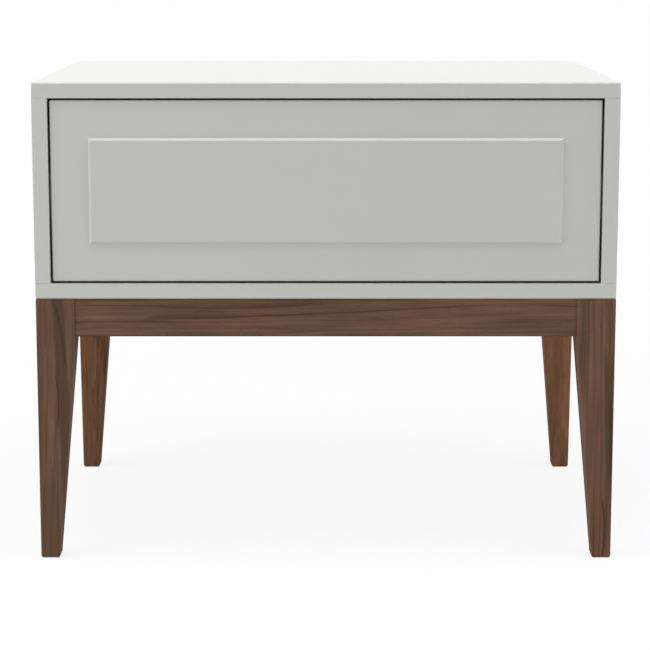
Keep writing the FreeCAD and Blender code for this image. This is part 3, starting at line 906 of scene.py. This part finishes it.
@dataclass(frozen=True)
class WoodScrew:
    """A countersunk wood screw with a cross recess and a rolled thread."""

    head_radius: float = 4.0 * MILLIMETRE
    head_height: float = 2.2 * MILLIMETRE
    lip: float = 0.25 * MILLIMETRE
    thread_radius: float = 2.0 * MILLIMETRE
    core_radius: float = 1.35 * MILLIMETRE
    tip_radius: float = 0.3 * MILLIMETRE
    tip_turns: float = 3.0
    pitch: float = 1.6 * MILLIMETRE
    crest_share: float = 0.5
    rows_in_pitch: int = 4
    plain_share: float = 0.25
    recess_reach: float = 2.3 * MILLIMETRE
    recess_width: float = 0.95 * MILLIMETRE
    recess_depth: float = 1.5 * MILLIMETRE
    recess_floor_share: float = 0.45
    sides: int = 24

    def radius(self, depth: float, angle: float, length: float) -> float:
        """The radius of the thread at a depth under the head and an angle round the axis.

        Args:
            depth: How far under the head's top.
            angle: The angle, in turns.
            length: The screw's length.

        Returns:
            The radius there.
        """
        plain = self.head_height + (length - self.head_height) * self.plain_share
        if depth < plain:
            return self.core_radius
        phase = (depth / self.pitch + angle) % 1.0
        crest = max(0.0, 1.0 - abs(phase - 0.5) * 2 / self.crest_share)
        left = min(1.0, (length - depth) / (self.tip_turns * self.pitch))
        core = self.tip_radius + (self.core_radius - self.tip_radius) * left
        return core + (self.thread_radius - self.core_radius) * crest * left

    def add(self, work: Mesh, head: Vector, way: Vector, length: float) -> None:
        """Adds the screw to a mesh.

        Args:
            work: The mesh.
            head: The middle of the head's flat top.
            way: The way in which it was driven, one unit long.
            length: From the top of its head to its tip.
        """
        frame = way.to_track_quat("Z", "Y").to_matrix()
        cone = (
            (0.0, self.head_radius - self.lip),
            (self.lip, self.head_radius),
            (self.head_height, self.core_radius),
        )
        rings = [ring(work, head, frame, depth, [radius] * self.sides) for depth, radius in cone]
        step = self.pitch / self.rows_in_pitch
        for row in range(int((length - self.head_height) / step)):
            depth = self.head_height + step * (row + 1)
            radii = [self.radius(depth, side / self.sides, length) for side in range(self.sides)]
            rings.append(ring(work, head, frame, depth, radii))
        skin(work, rings)
        work.faces.new(rings[-1])
        self.recess(work, head, frame, rings[0])

    def recess(self, work: Mesh, head: Vector, frame: Matrix, rim: list[Corner]) -> None:
        """Closes the head with its flat top round a cross recess.

        Args:
            work: The mesh.
            head: The middle of the head's flat top.
            frame: The way that the screw points.
            rim: The corners round the flat top.
        """
        half, share = self.recess_width / 2, self.recess_floor_share
        arm = ((self.recess_reach, half), (half, half), (half, self.recess_reach))
        spins = (Matrix.Rotation(math.tau * quarter / 4, 2) for quarter in range(4))
        outline = [spin @ Vector(point) for spin in spins for point in arm]
        mouth = [work.verts.new(head + frame @ Vector((x, y, 0.0))) for x, y in outline]
        foot = [
            work.verts.new(head + frame @ Vector((x * share, y * share, self.recess_depth))) for x, y in outline
        ]
        skin(work, (mouth, foot), smooth=False)
        work.faces.new(foot)
        pairs = [pair for loop in (rim, mouth) for pair in zip(loop, loop[1:] + loop[:1])]
        edges = [work.edges.get(pair) or work.edges.new(pair) for pair in pairs]
        bmesh.ops.triangle_fill(work, use_beauty=True, use_dissolve=False, edges=edges)


@dataclass
class Carcass:
    """The lacquered box: four boards, a thin back, and the fittings in its seams."""

    bench: Bench
    rounding: float = 0.45 * MILLIMETRE
    fitting_rounding: float = 0.3 * MILLIMETRE
    flutes: int = 20
    flute_depth: float = 0.3 * MILLIMETRE

    def build(self) -> None:
        """Builds the boards, the back and the fittings."""
        shelf = self.bench.shelf
        under, over = Side(axis=2, high=False), Side(axis=2, high=True)
        boards = {
            "top_board": (under,),
            "bottom_board": (over,),
            "left_side_board": (under, over, Side(axis=0, high=True)),
            "right_side_board": (under, over, Side(axis=0, high=False)),
        }
        for board, butted in boards.items():
            self.bench.eased(board, f"lacquered_{board}", shelf["warm_grey_lacquer"], self.rounding, butted)
        self.bench.eased("back_board", "painted_back_panel", shelf["painted_hardboard"], self.fitting_rounding)
        self.bench.eased("cam_locks", "slotted_cams", shelf["cast_zinc"], self.fitting_rounding)
        self.bench.eased("cam_bolts", "cam_bolt_shanks", shelf["screw_steel"], self.fitting_rounding)
        self.dowels()

    def dowels(self) -> None:
        """Turns the fluted dowels in the seams, as one piece."""
        work = bmesh.new()
        taper = 2 * self.flute_depth
        for corners in self.bench.parts("carcass_dowels"):
            low, high = span(corners)
            foot = Vector(((low.x + high.x) / 2, (low.y + high.y) / 2, low.z))
            radius, length = (high.x - low.x) / 2, high.z - low.z
            stations = [
                (0.0, radius - taper), (taper, radius), (length - taper, radius), (length, radius - taper),
            ]
            turn(work, foot, Vector((0, 0, 1)), stations, 2 * self.flutes, self.flute_depth)
        beech = PlainWood("dowel_beech", Grain.UPRIGHT).material()
        self.bench.stand(work, "fluted_dowels", "carcass_dowels", beech)


@dataclass
class Base:
    """The walnut frame: four tapered legs, four aprons, corner blocks and felt pads."""

    bench: Bench
    rounding: float = 0.4 * MILLIMETRE
    block_rounding: float = 0.5 * MILLIMETRE
    pad_rounding: float = 0.3 * MILLIMETRE

    def build(self) -> None:
        """Builds the legs, the aprons, the blocks and the pads."""
        for node, wood in {**self.front_legs(), **self.rear_legs(), **self.aprons()}.items():
            self.bench.eased(node, f"walnut_{node}", wood.material(), self.rounding)
        beech = PlainWood("block_beech", Grain.SIDEWAYS).material()
        self.bench.eased("corner_blocks", "beech_corner_blocks", beech, self.block_rounding)
        self.bench.eased("floor_pads", "felt_pads", self.bench.shelf["felt"], self.pad_rounding)

    def front_legs(self) -> dict[str, Walnut]:
        """Chooses the walnut of the front legs, which show smoky bands.

        Returns:
            Each leg's cut, by its node.
        """
        left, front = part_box("front_left_leg")[0].xy
        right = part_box("front_right_leg")[1].x
        smoke, amber = Mark.SMOKE, Mark.AMBER
        left_leg = Walnut(
            "walnut_front_left", Grain.UPRIGHT, (-0.20, -0.26), front, 2.6, lean=0.03, veins=(
                Vein(left + 0.0280, 0.14, 0.3, 0.0082, lean=-0.035, strength=0.9, mark=smoke, core=0.6),
                Vein(left + 0.0262, 0.242, 0.042, 0.0026, lean=-0.162, bow=-2.2, strength=0.5),
                Vein(left + 0.0214, 0.168, 0.038, 0.0012, bow=-2.4, strength=0.7),
                Vein(left + 0.0190, 0.06, 0.06, 0.0010, lean=0.01, strength=0.35),
                Vein(left + 0.0050, 0.125, 0.07, 0.0030, strength=0.25, mark=amber),
                Vein(left + 0.0130, 0.02, 0.05, 0.0040, strength=0.2, mark=amber),
                Vein(left + 0.0110, 0.01, 0.10, 0.0120, strength=0.55, mark=smoke, core=0.6),
            ),
        )
        right_leg = Walnut(
            "walnut_front_right", Grain.UPRIGHT, (0.47, -0.15), front, 5.1, slant=-0.6, lean=-0.02, veins=(
                Vein(right - 0.0325, 0.255, 0.09, 0.0070, lean=0.02, strength=0.6, mark=smoke),
                Vein(right - 0.0060, 0.262, 0.05, 0.0050, strength=0.6, mark=smoke),
                Vein(right - 0.0036, 0.145, 0.100, 0.0064, lean=-0.04, strength=0.95, mark=smoke, core=0.6),
                Vein(right - 0.0022, 0.125, 0.055, 0.0022, lean=-0.05, strength=0.6),
                Vein(right - 0.0070, 0.027, 0.05, 0.0013, bow=-2.4, strength=0.75),
                Vein(right - 0.0120, 0.02, 0.03, 0.0010, lean=0.03, strength=0.45),
                Vein(right - 0.0150, 0.03, 0.06, 0.0040, strength=0.3, mark=amber),
            ),
        )
        return {"front_left_leg": left_leg, "front_right_leg": right_leg}

    def rear_legs(self) -> dict[str, Walnut]:
        """Chooses the walnut of the rear legs, which is warmer, with amber bands on the sides facing forward.

        Returns:
            Each leg's cut, by its node.
        """
        left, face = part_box("rear_left_leg")[0].xy
        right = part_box("rear_right_leg")[1].x
        amber = Mark.AMBER
        warmer = {"brown": linear(88, 62, 48), "warm": linear(109, 77, 57), "pale": linear(127, 91, 67)}
        warmest = {
            "dark": linear(80, 56, 42), "brown": linear(114, 80, 60), "warm": linear(132, 93, 69),
            "pale": linear(144, 103, 76),
        }
        left_leg = Walnut(
            "walnut_rear_left", Grain.UPRIGHT, (-0.38, 0.10), face, 8.7, **warmer, veins=(
                Vein(left + 0.0280, 0.138, 0.04, 0.0016, lean=0.02, strength=0.9, mark=amber),
                Vein(left + 0.0276, 0.104, 0.03, 0.0011, lean=0.02, strength=0.6),
                Vein(left + 0.0110, 0.100, 0.11, 0.0045, strength=0.25, mark=amber),
                Vein(left + 0.0080, 0.010, 0.06, 0.0060, strength=0.45, mark=amber),
            ),
        )
        right_leg = Walnut(
            "walnut_rear_right", Grain.UPRIGHT, (0.37, 0.12), face, 11.9, **warmest, veins=(
                Vein(right - 0.0264, 0.130, 0.07, 0.0045, strength=0.6, mark=amber),
                Vein(right - 0.0220, 0.050, 0.06, 0.0035, strength=0.5, mark=amber),
                Vein(right - 0.0084, 0.085, 0.06, 0.0026, strength=0.55, mark=amber),
                Vein(right - 0.0120, 0.000, 0.04, 0.0080, strength=0.45, mark=amber),
                Vein(right - 0.0094, 0.025, 0.04, 0.0012, lean=0.02, strength=0.5),
            ),
        )
        return {"rear_left_leg": left_leg, "rear_right_leg": right_leg}

    def aprons(self) -> dict[str, Walnut]:
        """Chooses the walnut of the aprons, with a grain that runs round the base, and painted shade along the
        front apron's bottom edge.

        Returns:
            Each apron's cut, by its node.
        """
        left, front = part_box("front_left_leg")[0].xy
        right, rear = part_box("rear_right_leg")[1].xy
        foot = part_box("front_apron")[0].z
        smoke = Mark.SMOKE
        front_apron = Walnut(
            "walnut_front_apron", Grain.SIDEWAYS, (0.42, -0.05), front, 3.7, lean=0.01, veins=(
                Vein(foot + 0.0311, -0.105, 0.115, 0.0009, bow=0.46, strength=0.65),
                Vein(foot + 0.0342, -0.215, 0.06, 0.0009, strength=0.55),
                Vein(foot + 0.0220, -0.135, 0.065, 0.0034, strength=0.7, mark=smoke),
                Vein(foot + 0.0214, -0.145, 0.05, 0.0014, strength=0.5),
                Vein(foot + 0.0256, 0.0, 0.22, 0.0011, lean=0.046, bow=0.05, strength=0.6),
                Vein(foot + 0.0240, 0.02, 0.12, 0.0030, lean=0.03, strength=0.35, mark=smoke),
                Vein(foot + 0.0330, 0.255, 0.035, 0.0009, lean=-0.05, strength=0.55),
                Vein(foot + 0.0170, -0.215, 0.05, 0.0007, lean=0.006, strength=0.4),
                Vein(foot + 0.0195, 0.235, 0.04, 0.0008, strength=0.4),
                Vein(foot + 0.0220, 0.225, 0.03, 0.0007, strength=0.35),
                # painted shade: a smoky band and a dark line along the front apron's whole bottom edge,
                # standing in for the shade under its arris
                Vein(foot + 0.0010, 0.0, 0.60, 0.0034, strength=0.6, mark=smoke),
                Vein(foot + 0.0005, 0.0, 0.60, 0.0020, strength=0.3),
            ),
        )
        return {
            "front_apron": front_apron,
            "rear_apron": Walnut("walnut_rear_apron", Grain.SIDEWAYS, (0.36, 0.10), rear, 14.2, lean=-0.02),
            "left_apron": Walnut("walnut_left_apron", Grain.DEEP, (0.34, -0.36), left, 17.9, lean=0.03),
            "right_apron": Walnut("walnut_right_apron", Grain.DEEP, (0.35, 0.35), right, 21.4, lean=-0.03),
        }


@dataclass
class Drawer:
    """The drawer: its lacquered front with the raised field, and the dovetailed plywood box."""

    bench: Bench
    rounding: float = 0.35 * MILLIMETRE
    box_rounding: float = 0.3 * MILLIMETRE
    side_layers: int = 9
    bottom_layers: int = 5

    def build(self) -> None:
        """Builds the front, the box and the strike plate."""
        shelf = self.bench.shelf
        self.bench.eased("drawer_front", "raised_field_front", shelf["warm_grey_lacquer"], self.rounding)
        boards = {
            "drawer_left_side": ("XYZ", self.side_layers),
            "drawer_right_side": ("XYZ", self.side_layers),
            "drawer_inner_front": ("YXZ", self.side_layers),
            "drawer_back": ("YXZ", self.side_layers),
            "drawer_bottom": ("ZXY", self.bottom_layers),
        }
        for node, (axes, layers) in boards.items():
            bounds = tuple(corner["XYZ".index(axes[0])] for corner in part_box(node))
            finish = Plywood(f"ply_{node}", *axes, bounds=bounds, layers=layers).material()
            self.bench.eased(node, f"birch_{node}", finish, self.box_rounding)
        self.bench.eased("strike_plate", "strike_disc", shelf["zinc_plate"], self.box_rounding)


@dataclass
class Slides:
    """The two ball-bearing slides, with their cages and balls.

    A solid ball has 8 flat sides, so along Y it reaches out by only a share of its radius.
    """

    bench: Bench
    ball_fineness: int = 3
    reach_share: float = math.sin(math.radians(67.5))

    def build(self) -> None:
        """Dresses the rolled members and builds the cages with round balls."""
        for side in ("left", "right"):
            for member in ("cabinet", "middle", "drawer"):
                node = self.bench.frame["nodes"][f"{side}_slide_{member}_member"]
                for slot in node.material_slots:
                    slot.material = self.bench.shelf["zinc_plate"]
            for row in ("outer", "inner"):
                self.cage(f"{side}_slide_{row}_cage")

    def cage(self, node: str) -> None:
        """Builds a cage with its balls.

        Args:
            node: The node of the cage.
        """
        work = self.bench.solid(node)
        solids = islands(work)
        strip = max(solids, key=len)
        balls = [solid for solid in solids if solid is not strip]
        boxes = [span(corner.co for corner in ball) for ball in balls]
        bmesh.ops.delete(work, geom=[corner for ball in balls for corner in ball], context="VERTS")
        plated = len(work.faces)
        for low, high in boxes:
            radius = (high - low).y / 2 / self.reach_share
            place = Matrix.Translation((low + high) / 2)
            bmesh.ops.create_icosphere(work, subdivisions=self.ball_fineness, radius=radius, matrix=place)
        work.faces.ensure_lookup_table()
        for face in work.faces[plated:]:
            face.smooth = True
            face.material_index = 1
        piece = self.bench.stand(work, f"{node}_with_balls", node, self.bench.shelf["zinc_plate"])
        piece.data.materials.append(self.bench.shelf["ball_steel"])
        log.info("%s holds %d balls", piece.name, len(boxes))


@dataclass
class Latch:
    """The push latch: its housing, the plunger and the soft tip.

    The crown's shares are how far along and how far in each of its rings lies.
    """

    bench: Bench
    rounding: float = 0.4 * MILLIMETRE
    crown: float = 0.8 * MILLIMETRE
    crown_shares: tuple[Range, ...] = ((0.0, 1.0), (0.5, 0.2), (1.0, 0.0))
    foot_share: float = 0.25
    sides: int = 40

    def build(self) -> None:
        """Builds the housing, the plunger and the tip."""
        plastic, rubber = self.bench.shelf["latch_plastic"], self.bench.shelf["soft_tip"]
        self.bench.eased("push_latch_housing", "latch_housing", plastic, self.rounding)
        self.rod("push_latch_plunger", "latch_plunger", plastic)
        self.rod("push_latch_tip", "latch_soft_tip", rubber)

    def rod(self, node: str, name: str, finish: bpy.types.Material) -> None:
        """Turns a rod that points forward, with a crowned front end.

        Args:
            node: The node that it stands for.
            name: The piece's name.
            finish: Its material.
        """
        low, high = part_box(node)
        middle = (low + high) / 2
        radius, length = (high.z - low.z) / 2, high.y - low.y
        ease = self.foot_share * self.crown
        stations = [(self.crown * along, radius - self.crown * inward) for along, inward in self.crown_shares]
        stations += [(length - ease, radius), (length, radius - ease)]
        work = bmesh.new()
        turn(work, Vector((middle.x, low.y, middle.z)), Vector((0, 1, 0)), stations, self.sides)
        self.bench.stand(work, name, node, finish)


@dataclass
class Screws:
    """Every wood screw, with its recess and thread."""

    bench: Bench
    screw: WoodScrew = WoodScrew()

    def build(self) -> None:
        """Builds a piece for each group of screws."""
        groups = (
            "corner_block_screws", "base_screws", "slide_cabinet_screws", "slide_drawer_screws",
            "drawer_front_screws", "push_latch_screws",
        )
        for node in groups:
            work = bmesh.new()
            for corners in self.bench.parts(node):
                self.screw.add(work, *self.pose(corners))
            self.bench.stand(work, f"{node}_threaded", node, self.bench.shelf["screw_steel"])

    def pose(self, corners: list[Vector]) -> tuple[Vector, Vector, float]:
        """Reads a screw's place from the corners of its solid.

        Args:
            corners: The corners of the solid.

        Returns:
            The middle of its head, the way it was driven and its length.
        """
        low, high = span(corners)
        middle, size = (low + high) / 2, high - low
        axis = max(range(3), key=lambda index: size[index])
        across = Vector(float(index != axis) for index in range(3))
        widest = max(corners, key=lambda corner: ((corner - middle) * across).length)
        driven_down = widest[axis] > middle[axis]
        head, way = middle.copy(), Vector()
        head[axis] = (high if driven_down else low)[axis]
        way[axis] = -1.0 if driven_down else 1.0
        return head, way, size[axis]


@dataclass(frozen=True)
class Softbox:
    """A wide soft lamp, which the camera doesn't see."""

    name: str
    place: Place
    aim: Place
    width: float
    height: float
    watts: float

    def hang(self) -> None:
        """Hangs the lamp in the studio."""
        lamp = bpy.data.lights.new(self.name, "AREA")
        lamp.shape = "RECTANGLE"
        lamp.size = self.width
        lamp.size_y = self.height
        lamp.energy = self.watts
        made = added(self.name, lamp)
        made.location = self.place
        made.rotation_euler = (Vector(self.aim) - Vector(self.place)).to_track_quat("-Z", "Y").to_euler()
        made.visible_camera = False


@dataclass
class Studio:
    """A white floor that keeps a soft shadow, a white surround, and soft lamps at both sides and overhead."""

    ambient: float = 0.41
    floor_width: float = 60.0
    floor_colour: Colour = (0.8, 0.8, 0.8)
    near_glow: float = 0.86
    far_glow: float = 0.99
    near_reach: float = 0.5
    far_reach: float = 1.6
    softboxes: tuple[Softbox, ...] = (
        Softbox("left_softbox", (-2.2, -0.66, 1.15), (0.0, -0.2, 0.3), 1.9, 1.6, 41.0),
        Softbox("right_softbox", (2.2, -0.66, 1.15), (0.0, -0.2, 0.3), 1.9, 1.6, 28.0),
        Softbox("overhead_softbox", (0.0, -0.5, 2.9), (0.0, -0.1, 0.3), 2.6, 2.0, 50.0),
    )

    def build(self) -> None:
        """Builds the surround, the floor and the lamps."""
        self.surround()
        self.floor()
        for softbox in self.softboxes:
            softbox.hang()
        bpy.context.scene.view_settings.view_transform = "Standard"

    def surround(self) -> None:
        """Lights the object at a plain level, and shows white to the eye, in reflections and through glass."""
        world = bpy.data.worlds.new("white_surround")
        bpy.context.scene.world = world
        world.use_nodes = True
        wiring = Wiring(world.node_tree)
        seen = wiring.rays("Camera", "Glossy", "Transmission")
        dim = wiring.node("ShaderNodeBackground", {"Color": WHITE, "Strength": self.ambient})
        bright = wiring.node("ShaderNodeBackground", {"Color": WHITE, "Strength": 1.0})
        wiring.node("ShaderNodeOutputWorld", {"Surface": wiring.mix(seen, dim, bright)})

    def floor(self) -> None:
        """Lays the floor: white to the eye, with part of the object's shadow close to it."""
        work = bmesh.new()
        bmesh.ops.create_grid(work, x_segments=1, y_segments=1, size=self.floor_width / 2)
        shading = Shading("studio_white")
        shading.tree.nodes.remove(shading.surface)
        matt = shading.node("ShaderNodeBsdfDiffuse", {"Color": self.floor_colour})
        glow = shading.node("ShaderNodeEmission", {"Color": WHITE, "Strength": 1.0})
        axes = shading.axes()
        flat = shading.vector(axes["X"], axes["Y"], 0.0)
        away = shading.node("ShaderNodeVectorMath", {0: flat}, operation="LENGTH").outputs["Value"]
        far = shading.band(away, self.near_reach, self.far_reach)
        share = shading.math("MULTIPLY_ADD", far, self.far_glow - self.near_glow, self.near_glow)
        shown = shading.math("MULTIPLY", shading.rays("Camera", "Glossy"), share)
        shading.feed(shading.output.inputs["Surface"], shading.mix(shown, matt, glow))
        ground = formed(work, "studio_floor", shading.material)


@dataclass
class Viewpoint:
    """The photograph's camera: straight on from the front, above the top, with a little lens shift.

    Distances are metres from the front of the box and from the floor. The focal length is in picture widths.
    """

    distance: float = 2.068
    height: float = 0.635
    pitch: float = math.radians(9.09)
    focal_share: float = 3.126
    shift_right: float = -0.0013
    shift_up: float = -0.08
    sensor: float = 36.0
    sight: float = 200.0

    def build(self) -> None:
        """Sets up the camera."""
        lens = bpy.data.cameras.new("photo_camera")
        lens.sensor_fit = "HORIZONTAL"
        lens.sensor_width = self.sensor
        lens.lens = self.focal_share * self.sensor
        lens.shift_x = self.shift_right
        lens.shift_y = self.shift_up
        lens.clip_end = self.sight
        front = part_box("top_board")[0].y
        camera = added("photo_camera", lens)
        camera.location = (0.0, front - self.distance, self.height)
        camera.rotation_euler = (math.pi / 2 - self.pitch, 0.0, 0.0)
        bpy.context.scene.camera = camera


def main() -> None:
    """Builds the nightstand's looks, the studio and the camera."""
    logging.basicConfig(level=logging.INFO, format="%(name)s: %(message)s")
    bench = Bench()
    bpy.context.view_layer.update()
    for assembly in (Carcass(bench), Base(bench), Drawer(bench), Slides(bench), Latch(bench), Screws(bench)):
        assembly.build()
    Studio().build()
    Viewpoint().build()


if __name__ == "__main__":
    main()
